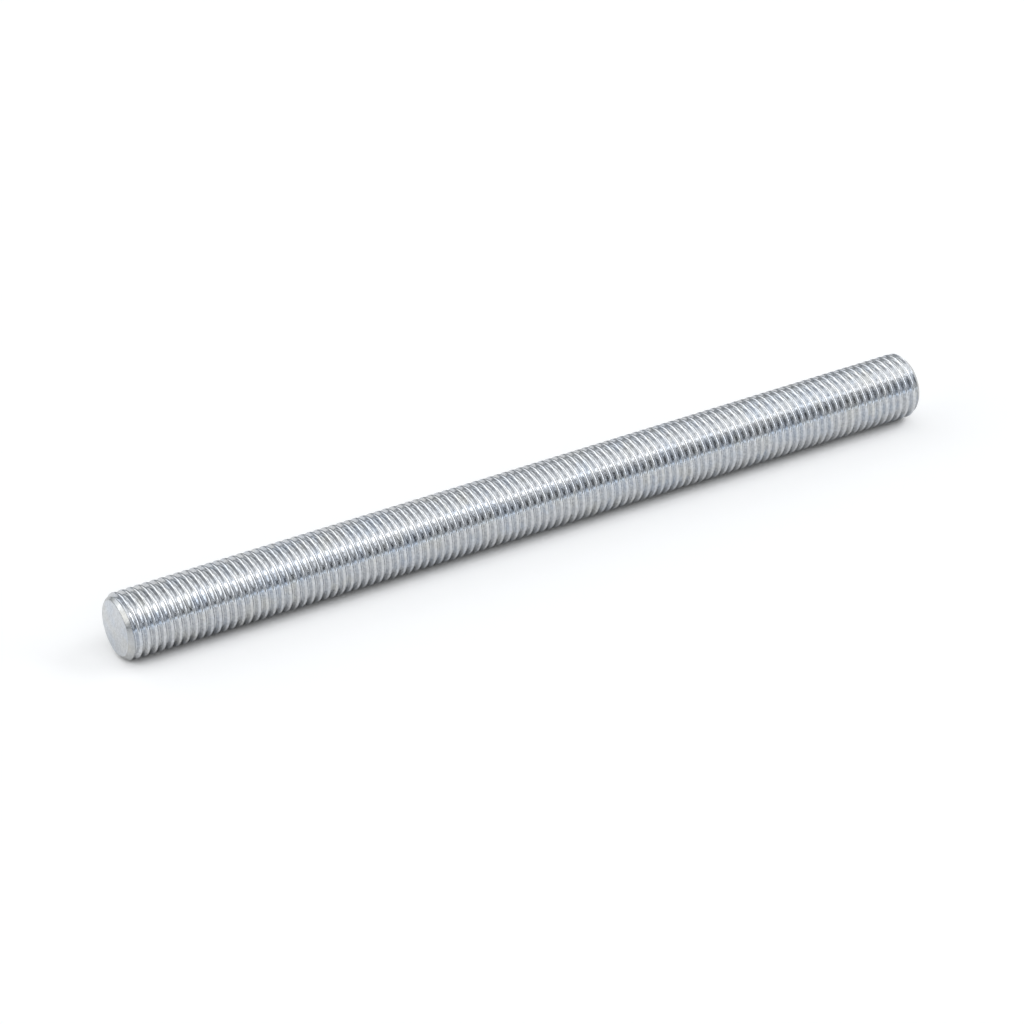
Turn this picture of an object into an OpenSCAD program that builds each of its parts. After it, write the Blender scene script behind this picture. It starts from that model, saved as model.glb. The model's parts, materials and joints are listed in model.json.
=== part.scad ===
// Threaded rod with a metric coarse thread from end to end and a chamfer at
// both ends. It lies along X and rests on the plane Z = 0.
//
// The thread has its full section: flat crests, straight flanks and rounded
// roots. Each turn is drawn as a closed ring, so the crests are true cylinders
// about the rod's axis, the flanks true cones and the roots parts of true rings.

/* [Rod] */
// Length from end face to end face
rod_length = 215; // [60:1:320]
// Major diameter, over the crests of the thread
major_d = 16; // [12:0.1:24]

/* [Thread] */
// Pitch, from one crest to the next
pitch = 2; // [1:0.05:3]
// Angle between the two flanks of a groove
flank_angle = 60; // [55:1:72]

/* [Ends] */
// Angle between the chamfer and the rod's axis
chamfer_angle = 45; // [30:1:60]
// How far the end face lies inside the root of the thread, on the radius
face_inset = 0.17; // [0.05:0.01:0.5]

/* [Hidden] */
$fn = 96;

major_r = major_d / 2;

// Height of the sharp triangle that the thread's profile is cut from
sharp_height = pitch / 2 / tan(flank_angle / 2);
// The profile loses an eighth of that height at the crest. The flanks end a
// quarter of it above the sharp root, where the rounding of the root begins.
crest_cut = sharp_height / 8;
flank_depth = sharp_height - crest_cut - sharp_height / 4;
crest_flat = pitch / 8;
groove_mouth = pitch - crest_flat;
groove_floor = pitch / 4;

// Radius of the root and the depth of its centre. The root touches both flanks,
// and the hair on its radius gives it one clean edge with each of them.
root_hair = 0.001;
touching_r = groove_floor / 2 / cos(flank_angle / 2);
root_r = touching_r + root_hair;
root_centre_depth = flank_depth - touching_r * sin(flank_angle / 2);
thread_depth = root_centre_depth + root_r;
minor_r = major_r - thread_depth;

// The chamfer runs from inside the root out to the crests
face_r = minor_r - face_inset;
chamfer_length = (major_r - face_r) / tan(chamfer_angle);

// Grooves on each side of the one in the middle, enough to pass both ends
grooves_per_side = ceil(rod_length / 2 / pitch);

// Half section of the plain bar: radius along X, the rod's axis along Y
module bar_section() {
    half = rod_length / 2;
    shoulder = half - chamfer_length;
    polygon([
        [0, -half],
        [face_r, -half],
        [major_r, -shoulder],
        [major_r, shoulder],
        [face_r, half],
        [0, half]
    ]);
}

// Section of one groove, centred on Y = 0 and open towards +X
module groove_section() {
    // The flanks run on past the crest, so that the groove's mouth is clear
    clear = crest_cut;
    mouth = groove_mouth / 2 + clear * tan(flank_angle / 2);
    polygon([
        [major_r + clear, -mouth],
        [major_r + clear, mouth],
        [major_r - flank_depth, groove_floor / 2],
        [major_r - flank_depth, -groove_floor / 2]
    ]);
    translate([major_r - root_centre_depth, 0]) circle(r = root_r);
}

module rod_section() {
    difference() {
        bar_section();
        for (i = [-grooves_per_side : grooves_per_side])
            translate([0, i * pitch]) groove_section();
    }
}

module rod() {
    color("silver")
        translate([0, 0, major_r]) rotate([0, 90, 0])
            rotate_extrude() rod_section();
}

rod();
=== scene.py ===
"""Looks of the threaded rod: a right-hand helical thread with chamfered ends in bright zinc plate.

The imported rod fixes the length, the diameter and the place. Its ringed thread is replaced here by the
real helix, which runs out through the chamfer at each end.
"""
import json
import math

import bmesh
import bpy
import numpy as np
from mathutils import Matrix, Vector


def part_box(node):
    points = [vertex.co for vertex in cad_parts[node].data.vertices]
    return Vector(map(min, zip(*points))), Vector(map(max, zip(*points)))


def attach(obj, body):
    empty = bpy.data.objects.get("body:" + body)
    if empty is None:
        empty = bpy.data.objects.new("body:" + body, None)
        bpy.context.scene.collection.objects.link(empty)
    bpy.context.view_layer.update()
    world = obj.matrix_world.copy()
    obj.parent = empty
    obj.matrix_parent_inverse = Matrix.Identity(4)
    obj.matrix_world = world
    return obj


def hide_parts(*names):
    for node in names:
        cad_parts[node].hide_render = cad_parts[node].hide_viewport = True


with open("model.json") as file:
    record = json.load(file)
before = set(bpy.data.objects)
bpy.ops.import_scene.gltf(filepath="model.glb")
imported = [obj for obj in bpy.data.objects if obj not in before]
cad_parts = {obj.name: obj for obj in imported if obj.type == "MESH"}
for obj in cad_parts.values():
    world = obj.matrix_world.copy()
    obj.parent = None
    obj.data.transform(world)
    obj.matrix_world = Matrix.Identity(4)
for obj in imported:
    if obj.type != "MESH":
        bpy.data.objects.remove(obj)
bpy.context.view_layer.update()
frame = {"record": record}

MM = 0.001

# ---------------------------------------------------------------- the rod, from the frame
rod_low, rod_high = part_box("rod")
thread_mount = next(m for m in frame["record"]["mounts"] if m["name"] == "thread")
MAJOR_R = thread_mount["dims"]["r_mm"] * MM
AXIS_Z = thread_mount["pos_m"][2]
HALF_LENGTH = (rod_high.x - rod_low.x) / 2

# ---------------------------------------------------------------- thread
PITCH = 2.0 * MM
FLANK_HALF_ANGLE = math.radians(30)
SHARP_HEIGHT = PITCH / 2 / math.tan(FLANK_HALF_ANGLE)
CREST_WIDTH = 0.40 * MM             # rolling leaves the crests broad and slightly domed
CREST_DOME = 0.50 * MM              # radius of that dome
CREST_EDGE = 0.40 * MM              # radius between dome and flank
ROOT_R = 0.24 * MM                  # radius of the rounded root
HELIX_PHASE = 0.12                  # shift of the helix along the rod, in pitches
FLANK_LOOP = 0.10                   # share of the flank from either end to a loop that keeps it flat

# ---------------------------------------------------------------- ends
ISO_DEPTH = SHARP_HEIGHT * 17 / 24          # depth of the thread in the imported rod
FACE_R = MAJOR_R - ISO_DEPTH - 0.17 * MM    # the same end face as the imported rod's
CHAMFER_ANGLE = math.radians(45)
END_ZONE = 1.6 * PITCH              # length at each end that is modelled on a fine grid
EDGE_BLEND = 0.07 * MM              # how softly thread and chamfer meet
RIM_R = 0.17 * MM                   # how softly chamfer and end face meet
# Rings of the rim between them, as steps back from the face and out from its edge, in shares of RIM_R
RIM = ((0.22, -0.10), (0.05, -0.42), (0.0, -0.9), (0.0, -2.0))

COLUMNS = 48                        # vertices around the rod
END_RINGS = 58                      # rings in the fine grid at each end


def arc(centre, radius, start, stop, steps):
    """Points (axial, radial) on an arc, from angle start to stop in degrees."""
    angles = np.radians(np.linspace(start, stop, steps + 1))
    return [(centre[0] + radius * math.cos(a), centre[1] + radius * math.sin(a)) for a in angles]


def half_crest(dome_steps, edge_steps):
    """The crest from its middle to the start of the flank, as (axial, radius) points."""
    tilt = math.degrees(math.asin(CREST_WIDTH / 2 / CREST_DOME))
    dome = arc((0.0, MAJOR_R - CREST_DOME), CREST_DOME, 90, 90 - tilt, dome_steps)
    inward = CREST_DOME - CREST_EDGE
    tilt_angle = math.radians(tilt)
    centre = (inward * math.sin(tilt_angle), MAJOR_R - CREST_DOME + inward * math.cos(tilt_angle))
    edge = arc(centre, CREST_EDGE, 90 - tilt, math.degrees(FLANK_HALF_ANGLE), edge_steps)
    return dome + edge[1:]


FLANK_TOP = half_crest(1, 1)[-1]
SHARP_ROOT = FLANK_TOP[1] + FLANK_TOP[0] / math.tan(FLANK_HALF_ANGLE) - SHARP_HEIGHT
MINOR_R = SHARP_ROOT + ROOT_R / math.sin(FLANK_HALF_ANGLE) - ROOT_R


def thread_profile(dome_steps, edge_steps, root_steps):
    """One pitch of the thread as (axial, radius) points from crest middle to crest middle."""
    flank_deg = 90 - math.degrees(FLANK_HALF_ANGLE)
    crest = half_crest(dome_steps, edge_steps)
    root_centre = (PITCH / 2, MINOR_R + ROOT_R)
    root = arc(root_centre, ROOT_R, 270 - flank_deg, 270 + flank_deg, root_steps)
    top, bottom = np.array(crest[-1]), np.array(root[0])
    flank = [tuple(top + (bottom - top) * s) for s in (FLANK_LOOP, 1 - FLANK_LOOP)]
    falling = crest + flank
    rising = [(PITCH - x, r) for x, r in reversed(falling[1:])]
    return np.array(falling + root + rising)


COARSE = thread_profile(2, 2, 4)
FINE = thread_profile(6, 8, 24)


def thread_radius(x, turn):
    """Radius of the endless thread at axial place x and angle turn, in turns."""
    along = np.mod(x - (turn + HELIX_PHASE) * PITCH, PITCH)
    return np.interp(along, FINE[:, 0], FINE[:, 1], period=PITCH)


def chamfer_radius(x):
    return FACE_R + (HALF_LENGTH - np.abs(x)) * math.tan(CHAMFER_ANGLE)


def soft_min(a, b, width):
    """The smaller of a and b, with the corner between them rounded over about width."""
    gap = np.clip(0.5 + 0.5 * (b - a) / width, 0, 1)
    return b + (a - b) * gap - width * gap * (1 - gap)


def end_radius(x, turn):
    return soft_min(thread_radius(x, turn), chamfer_radius(x), EDGE_BLEND)


class MeshParts:
    """Vertices and faces of the rod while it is put together."""

    def __init__(self):
        self.points = []
        self.faces = []

    def ring(self, x, radii):
        """Adds one vertex for each column at axial place x, and returns their numbers."""
        first = len(self.points)
        for column in range(COLUMNS):
            angle = 2 * math.pi * column / COLUMNS
            r = radii[column]
            self.points.append((x, r * math.cos(angle), AXIS_Z + r * math.sin(angle)))
        return list(range(first, first + COLUMNS))

    def bridge(self, ring_a, ring_b):
        for c in range(COLUMNS):
            n = (c + 1) % COLUMNS
            self.faces.append((ring_a[c], ring_a[n], ring_b[n], ring_b[c]))

    def fan(self, ring, x):
        self.points.append((x, 0.0, AXIS_Z))
        tip = len(self.points) - 1
        for c in range(COLUMNS):
            self.faces.append((ring[c], ring[(c + 1) % COLUMNS], tip))


def add_end(parts, side, boundary):
    """The fine grid from the helical part to the end face on one side, then the rim and the face."""
    around = np.arange(COLUMNS) / COLUMNS
    inner = HALF_LENGTH - END_ZONE
    outer = HALF_LENGTH - RIM_R * 0.6
    last = boundary
    for step in range(1, END_RINGS + 1):
        x = side * (inner + (outer - inner) * step / END_RINGS)
        ring = parts.ring(x, end_radius(np.full(COLUMNS, x), around))
        parts.bridge(last, ring)
        last = ring
    for back, out in RIM:
        ring = parts.ring(side * (HALF_LENGTH - back * RIM_R), np.full(COLUMNS, FACE_R + out * RIM_R))
        parts.bridge(last, ring)
        last = ring
    for share in (0.66, 0.33):
        ring = parts.ring(side * HALF_LENGTH, np.full(COLUMNS, FACE_R * share))
        parts.bridge(last, ring)
        last = ring
    parts.fan(last, side * HALF_LENGTH)


def helix_points(parts, boundary, cut, turns_along):
    """Vertices of the helical part, by column and number along it. Past a cut they are the boundary's."""
    numbers = {}
    for column in range(COLUMNS):
        angle = 2 * math.pi * column / COLUMNS
        shift = (column / COLUMNS + HELIX_PHASE) * PITCH
        places = [(turn * PITCH + axial + shift, r) for turn in turns_along for axial, r in COARSE]
        for index, (x, r) in enumerate(places):
            if abs(x) >= cut:
                numbers[column, index] = boundary[1 if x > 0 else -1][column]
            else:
                numbers[column, index] = len(parts.points)
                parts.points.append((x, r * math.cos(angle), AXIS_Z + r * math.sin(angle)))
    return numbers


def add_helix(parts):
    """The helical part between the two end grids. Its loops follow the crests and roots."""
    cut = HALF_LENGTH - END_ZONE
    around = np.arange(COLUMNS) / COLUMNS
    boundary = {}
    for side in (-1, 1):
        boundary[side] = parts.ring(side * cut, end_radius(np.full(COLUMNS, side * cut), around))
    turns_along = range(math.floor(-cut / PITCH) - 3, math.ceil(cut / PITCH) + 2)
    numbers = helix_points(parts, boundary, cut, turns_along)
    count = len(turns_along) * len(COARSE)
    for column in range(COLUMNS):
        # from the last column to the first the helix has moved on by one pitch
        wrap = column == COLUMNS - 1
        neighbour = 0 if wrap else column + 1
        offset = len(COARSE) if wrap else 0
        for i in range(count - 1 - offset):
            corners = (numbers[column, i], numbers[column, i + 1],
                       numbers[neighbour, i + 1 + offset], numbers[neighbour, i + offset])
            unique = tuple(dict.fromkeys(corners))
            if len(unique) > 2:
                parts.faces.append(unique)
    return boundary


def build_rod():
    parts = MeshParts()
    boundary = add_helix(parts)
    for side in (-1, 1):
        add_end(parts, side, boundary[side])
    mesh = bpy.data.meshes.new("threaded_bar")
    mesh.from_pydata(parts.points, [], parts.faces)
    work = bmesh.new()
    work.from_mesh(mesh)
    bmesh.ops.remove_doubles(work, verts=work.verts, dist=1e-7)
    bmesh.ops.recalc_face_normals(work, faces=work.faces)
    for face in work.faces:
        face.smooth = True
    work.to_mesh(mesh)
    work.free()
    rod = bpy.data.objects.new("threaded_bar", mesh)
    bpy.context.scene.collection.objects.link(rod)
    return rod


# ---------------------------------------------------------------- node helpers
class Graph:
    """A node tree with short calls for the few kinds of node that are used here."""

    def __init__(self, owner):
        owner.use_nodes = True
        self.tree = owner.node_tree
        self.tree.nodes.clear()

    def add(self, kind, **settings):
        node = self.tree.nodes.new(kind)
        for name, value in settings.items():
            setattr(node, name, value)
        return node

    def put(self, value, socket):
        """Links an output to a socket, or writes a plain value into it."""
        if isinstance(value, bpy.types.NodeSocket):
            self.tree.links.new(value, socket)
        else:
            socket.default_value = value

    def math(self, operation, *values):
        node = self.add("ShaderNodeMath", operation=operation)
        for value, socket in zip(values, node.inputs):
            self.put(value, socket)
        return node.outputs[0]

    def vector(self, operation, *values):
        node = self.add("ShaderNodeVectorMath", operation=operation)
        for value, socket in zip(values, node.inputs):
            self.put(value, socket)
        return node.outputs["Value" if operation in ("DOT_PRODUCT", "LENGTH") else "Vector"]

    def smooth(self, value, start, stop, low=0.0, high=1.0):
        """Goes smoothly from low to high while value goes from start to stop."""
        node = self.add("ShaderNodeMapRange", interpolation_type="SMOOTHSTEP")
        for number, socket in zip((value, start, stop, low, high), node.inputs):
            self.put(number, socket)
        return node.outputs[0]

    def mix(self, share, a, b):
        """Colour a where share is 0, colour b where it is 1."""
        node = self.add("ShaderNodeMix", data_type="RGBA")
        self.put(share, node.inputs[0])
        self.put(a, node.inputs[6])
        self.put(b, node.inputs[7])
        return node.outputs[2]

    def scaled(self, vector, factor):
        node = self.add("ShaderNodeVectorMath", operation="SCALE")
        self.put(vector, node.inputs[0])
        self.put(factor, node.inputs["Scale"])
        return node.outputs["Vector"]

    def ramp(self, place, stops):
        """Eases between stops: each is its place from 0 to 1 and a colour, or a number for the alpha."""
        node = self.add("ShaderNodeValToRGB")
        self.put(place, node.inputs[0])
        band = node.color_ramp
        band.interpolation = "EASE"
        band.elements.remove(band.elements[1])
        for number, (position, value) in enumerate(sorted(stops, key=lambda stop: stop[0])):
            element = band.elements[0] if number == 0 else band.elements.new(position)
            element.position = position
            element.color = (*value, 1.0) if isinstance(value, tuple) else (0.0, 0.0, 0.0, value)
        return node

    def noise(self, place, stretch, detail=1.0):
        """Noise from 0 to 1 whose grains are 1 / stretch long on each axis of place."""
        node = self.add("ShaderNodeTexNoise")
        self.put(self.vector("MULTIPLY", place, stretch), node.inputs["Vector"])
        self.put(1.0, node.inputs["Scale"])
        self.put(detail, node.inputs["Detail"])
        self.put(0.5, node.inputs["Roughness"])
        return node.outputs["Fac"]

    def bump(self, height, depth, normal=None):
        """A surface normal from a height of 0 to 1 that stands for depth metres."""
        node = self.add("ShaderNodeBump")
        self.put(height, node.inputs["Height"])
        self.put(depth, node.inputs["Distance"])
        if normal is not None:
            self.put(normal, node.inputs["Normal"])
        return node.outputs["Normal"]


# ---------------------------------------------------------------- material
ZINC = (0.79, 0.80, 0.815, 1)           # bright zinc plate on the crests
ZINC_FLANK_SHADED = (0.765, 0.777, 0.795, 1)   # plate on the flanks, a little darker: painted shade in the grooves
ZINC_ROOT_SHADED = (0.71, 0.722, 0.74, 1)      # plate in the roots, darker still: painted shade in the recesses
ZINC_CUT = (0.82, 0.838, 0.862, 1)      # the sawn and turned end faces
ZINC_CHAMFER = (0.66, 0.66, 0.65, 1)    # the turned chamfers
ZINC_COOL = (0.955, 0.98, 1.015, 1)     # tint where the blue passivation shows
ZINC_WARM = (1.02, 1.01, 0.98, 1)       # tint where it is faintly straw coloured
PLAIN = (1.0, 1.0, 1.0, 1)              # no tint


def surface_zones(graph, along, radius):
    """Where the surface is flank, root, chamfer and end face, each from 0 to 1. Lengths are in mm."""
    flank = graph.smooth(radius, MAJOR_R / MM - 0.04, MAJOR_R / MM - 0.16)
    root = graph.smooth(radius, MINOR_R / MM + 0.40, MINOR_R / MM + 0.05)
    cone = graph.math("SUBTRACT", graph.math("ADD", radius, along), (FACE_R + HALF_LENGTH) / MM)
    face = graph.smooth(along, HALF_LENGTH / MM - 0.05, HALF_LENGTH / MM - 0.01)
    chamfer = graph.math("MULTIPLY", graph.smooth(cone, -0.10, -0.03), graph.math("SUBTRACT", 1.0, face))
    return flank, root, chamfer, face


def plate_colour(graph, place, zones, spangle):
    """Zinc with soft cool and warm clouds and a spangle, with painted shade darkening the flanks and,
    more, the roots.
    """
    flank, root, chamfer, face = zones
    cool = graph.smooth(graph.noise(place, (0.13, 0.22, 0.22), 2.0), 0.42, 0.66)
    warm = graph.smooth(graph.noise(place, (0.31, 0.19, 0.19), 1.0), 0.50, 0.75)
    tint = graph.mix(cool, PLAIN, ZINC_COOL)
    tint = graph.mix(warm, tint, ZINC_WARM)
    # painted shade: the flanks and, more so, the roots are coloured darker than the crests
    colour = graph.mix(flank, ZINC, ZINC_FLANK_SHADED)
    colour = graph.mix(root, colour, ZINC_ROOT_SHADED)
    colour = graph.mix(chamfer, colour, ZINC_CHAMFER)
    colour = graph.mix(face, colour, ZINC_CUT)
    colour = graph.vector("MULTIPLY", colour, tint)
    return graph.scaled(colour, graph.smooth(spangle, 0.30, 0.70, 0.87, 1.06))


def plate_finish(graph, place, along, radius, zones, spangle):
    """Roughness, and a normal with rolling marks along the thread and turning rings on the ends."""
    flank, root, chamfer, face = zones
    machined = graph.math("MAXIMUM", chamfer, face)
    rolled = graph.noise(place, (9.0, 0.45, 0.45), 2.0)
    ring_place = graph.add("ShaderNodeCombineXYZ")
    graph.put(radius, ring_place.inputs["X"])
    graph.put(graph.math("MULTIPLY", along, 0.5), ring_place.inputs["Y"])
    rings = graph.noise(ring_place.outputs[0], (9.0, 9.0, 1.0), 2.0)
    dapple = graph.noise(place, (1.3, 1.1, 1.1), 2.0)
    wave = graph.noise(place, (0.23, 0.30, 0.30), 1.0)
    roughness = graph.smooth(spangle, 0.25, 0.75, 0.055, 0.095)
    roughness = graph.math("ADD", roughness, graph.smooth(rolled, 0.3, 0.8, 0.0, 0.03))
    roughness = graph.math("ADD", roughness, graph.math("MULTIPLY", flank, 0.06))
    roughness = graph.math("ADD", roughness, graph.math("MULTIPLY", machined, 0.10))
    normal = graph.bump(wave, 0.020 * MM)
    normal = graph.bump(dapple, 0.007 * MM, normal)
    normal = graph.bump(graph.mix(machined, rolled, rings), 0.0012 * MM, normal)
    return roughness, normal


def zinc_material():
    material = bpy.data.materials.new("zinc_plate")
    graph = Graph(material)
    place = graph.add("ShaderNodeTexCoord").outputs["Object"]
    place = graph.vector("SUBTRACT", place, (0, 0, AXIS_Z))
    place = graph.vector("DIVIDE", place, (MM, MM, MM))
    split = graph.add("ShaderNodeSeparateXYZ")
    graph.put(place, split.inputs[0])
    along = graph.math("ABSOLUTE", split.outputs["X"])
    radius = graph.vector("LENGTH", graph.vector("MULTIPLY", place, (0, 1, 1)))

    zones = surface_zones(graph, along, radius)
    spangle = graph.noise(place, (1.7, 1.7, 1.7), 2.0)
    colour = plate_colour(graph, place, zones, spangle)
    roughness, normal = plate_finish(graph, place, along, radius, zones, spangle)

    shader = graph.add("ShaderNodeBsdfPrincipled")
    graph.put(colour, shader.inputs["Base Color"])
    graph.put(roughness, shader.inputs["Roughness"])
    graph.put(normal, shader.inputs["Normal"])
    shader.inputs["Metallic"].default_value = 1.0
    output = graph.add("ShaderNodeOutputMaterial")
    graph.put(shader.outputs[0], output.inputs["Surface"])
    return material


# ---------------------------------------------------------------- stage
FLOOR_COLOUR = 0.68                 # pale floor
FLOOR_GLOW = 0.38                   # what is added for the camera, so that it reads white
GLOW_IN_METAL = 0.36                # the share of it that reflections show
PAINTED_SHADOW_REACH = 30 * MM             # how far the painted contact shadow of the rod reaches over the floor
PAINTED_SHADOW_DARK = 0.16                 # share of the floor's colour that is left in the darkest part of the painted contact shadow
FLOOR_HALF = 20.0                   # half its side, so that low views see no edge


def floor_material():
    """A pale floor that reads white to the camera, with the rod's contact shadow painted into its colour
    and its glow where the rod closes it off.
    """
    material = bpy.data.materials.new("floor")
    graph = Graph(material)
    ray = graph.add("ShaderNodeLightPath").outputs
    mirrored = graph.math("MAXIMUM", ray["Is Glossy Ray"], ray["Is Transmission Ray"])
    seen = graph.math("MAXIMUM", ray["Is Camera Ray"], graph.math("MULTIPLY", mirrored, GLOW_IN_METAL))
    near = graph.add("ShaderNodeAmbientOcclusion", samples=6)
    near.inputs["Distance"].default_value = PAINTED_SHADOW_REACH
    open_sky = near.outputs["AO"]
    glow = graph.add("ShaderNodeEmission")
    # painted shadow: the glow fades out where the rod closes the floor off
    glow_with_painted_shadow = graph.smooth(open_sky, 0.12, 0.35, 0.0, FLOOR_GLOW)
    graph.put(graph.math("MULTIPLY", seen, glow_with_painted_shadow), glow.inputs["Strength"])
    paint = graph.add("ShaderNodeBsdfDiffuse")
    # painted shadow: the floor's colour darkens where the rod closes it off
    painted_shadow_grey = graph.smooth(open_sky, 0.08, 0.33, PAINTED_SHADOW_DARK * FLOOR_COLOUR, FLOOR_COLOUR)
    grey = graph.add("ShaderNodeCombineColor")
    for socket in grey.inputs[:3]:
        graph.put(painted_shadow_grey, socket)
    graph.put(grey.outputs[0], paint.inputs["Color"])
    both = graph.add("ShaderNodeAddShader")
    graph.put(paint.outputs[0], both.inputs[0])
    graph.put(glow.outputs[0], both.inputs[1])
    output = graph.add("ShaderNodeOutputMaterial")
    graph.put(both.outputs[0], output.inputs["Surface"])
    return material


def add_floor():
    mesh = bpy.data.meshes.new("floor")
    corners = [(x * FLOOR_HALF, y * FLOOR_HALF, 0) for x, y in ((-1, -1), (1, -1), (1, 1), (-1, 1))]
    mesh.from_pydata(corners, [], [(0, 1, 2, 3)])
    mesh.materials.append(floor_material())
    floor = bpy.data.objects.new("floor", mesh)
    bpy.context.scene.collection.objects.link(floor)


# ---------------------------------------------------------------- light
# The studio around the rod, as brightness by direction, all of it in the world.
# Azimuth 0 is in front (-Y) and 90 is to the right (+X). All angles are in degrees.
LEVEL = 0.81
# the room and its bright ceiling: elevation and colour
CEILING = (
    (36, (0.29, 0.31, 0.33)), (53, (0.72, 0.74, 0.76)),
    (61, (0.65, 0.67, 0.69)), (72, (1.80, 1.83, 1.86)),
)
# Rows of cards. Each row has the elevations over which it fades in and out, then its cards, as
# azimuth, half width, soft edge and colour. Cards of one row don't overlap.
CARDS = (
    ((-9, -8), (-2, 10), ((31, 23, 15, (1.80, 1.98, 2.18)),)),      # bright edge of the table in front
    ((-9, -8), (20, 34), ((122, 11, 10, (1.15, 1.18, 1.20)),)),     # window behind on the right
    ((2, 28), (46, 56), ((212, 31, 15, (1.22, 1.24, 1.26)),)),      # card behind on the left
    ((4, 18), (46, 56), ((5, 26, 4, (0.55, 0.56, 0.58)),)),         # grey card in front
    ((8, 16), (31, 41), ((53, 14, 4, (2.95, 3.03, 3.14)),           # low card on the right
                         (262, 30, 8, (1.45, 1.44, 1.40)))),        # low card on the left
    ((30, 40), (50, 58), ((77, 27, 8, (3.80, 3.82, 3.87)),)),       # upper lamp on the right
    ((47, 54), (66, 75), ((38, 17, 9, (1.95, 1.95, 1.95)),)),       # softbox, right of the camera and high
)
# Rows of dark flags, in the same form. The last number is the share of the light that each takes away.
FLAGS = (
    ((6, 12), (35, 43), ((37.5, 8, 3, 1.0),)),
    ((36, 43), (51, 59), ((48, 7, 2, 0.88), (120, 26, 10, 0.75))),
)
SEAM = 318              # azimuth at which no card stands, where the circle is cut open


def azimuth_place(azimuth):
    """Place of an azimuth on the opened circle, from 0 to 1."""
    return (azimuth - SEAM) % 360 / 360


def elevation_place(elevation):
    """Place of an elevation on the scale from 10 degrees below the horizon to 90 above it."""
    return (elevation + 10) / 100


def across(azimuth, half, soft, value, empty):
    """Stops of one card on the opened circle: value on the card and empty on both sides of it."""
    edges = (-half - soft, -half + soft, half - soft, half + soft)
    return [(azimuth_place(azimuth + e), v) for e, v in zip(edges, (empty, value, value, empty))]


def add_world():
    world = bpy.data.worlds.new("studio")
    bpy.context.scene.world = world
    graph = Graph(world)
    direction = graph.add("ShaderNodeTexCoord").outputs["Generated"]
    split = graph.add("ShaderNodeSeparateXYZ")
    graph.put(direction, split.inputs[0])
    front = graph.math("MULTIPLY", split.outputs["Y"], -1.0)
    turn = graph.math("ARCTAN2", split.outputs["X"], front)
    turn = graph.math("FRACT", graph.math("MULTIPLY_ADD", turn, 0.5 / math.pi, -SEAM / 360))
    rise = graph.math("ARCSINE", split.outputs["Z"])
    rise = graph.math("MULTIPLY_ADD", rise, 1.8 / math.pi, elevation_place(0))

    def row(low, high, cards, empty):
        """The ramp around the circle for a row of cards, and how much of it this elevation shows."""
        stops = [stop for azimuth, half, soft, value in cards
                 for stop in across(azimuth, half, soft, value, empty)]
        places = [elevation_place(e) for e in (*low, *high)]
        shown = graph.ramp(rise, list(zip(places, (0.0, 1.0, 1.0, 0.0))))
        return graph.ramp(turn, stops), shown.outputs["Alpha"]

    total = graph.ramp(rise, [(elevation_place(e), colour) for e, colour in CEILING]).outputs["Color"]
    for low, high, cards in CARDS:
        light, shown = row(low, high, cards, (0.0, 0.0, 0.0))
        total = graph.vector("ADD", total, graph.scaled(light.outputs["Color"], shown))
    for low, high, flags in FLAGS:
        flag, shown = row(low, high, flags, 0.0)
        taken = graph.math("MULTIPLY", flag.outputs["Alpha"], shown)
        total = graph.scaled(total, graph.math("SUBTRACT", 1.0, taken))
    background = graph.add("ShaderNodeBackground")
    graph.put(total, background.inputs["Color"])
    background.inputs["Strength"].default_value = LEVEL
    output = graph.add("ShaderNodeOutputWorld")
    graph.put(background.outputs[0], output.inputs["Surface"])


# ---------------------------------------------------------------- camera
CAMERA_AZIMUTH = math.radians(30.49)
CAMERA_ELEVATION = math.radians(31.91)
CAMERA_DISTANCE = 1.1014
AIM = Vector((-3.83 * MM, 0.0, 6.09 * MM))


def add_camera():
    data = bpy.data.cameras.new("camera")
    data.lens = 165
    data.sensor_width = 36
    data.clip_start = 0.05
    data.clip_end = 60
    camera = bpy.data.objects.new("camera", data)
    bpy.context.scene.collection.objects.link(camera)
    view = Vector((math.sin(CAMERA_AZIMUTH) * math.cos(CAMERA_ELEVATION),
                   math.cos(CAMERA_AZIMUTH) * math.cos(CAMERA_ELEVATION),
                   -math.sin(CAMERA_ELEVATION)))
    camera.location = AIM - view * CAMERA_DISTANCE
    camera.rotation_euler = view.to_track_quat("-Z", "Y").to_euler()
    bpy.context.scene.camera = camera


bpy.context.scene.view_settings.view_transform = "Standard"
add_camera()
add_world()
add_floor()

rod = build_rod()
rod.data.materials.append(zinc_material())
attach(rod, "root")
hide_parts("rod")
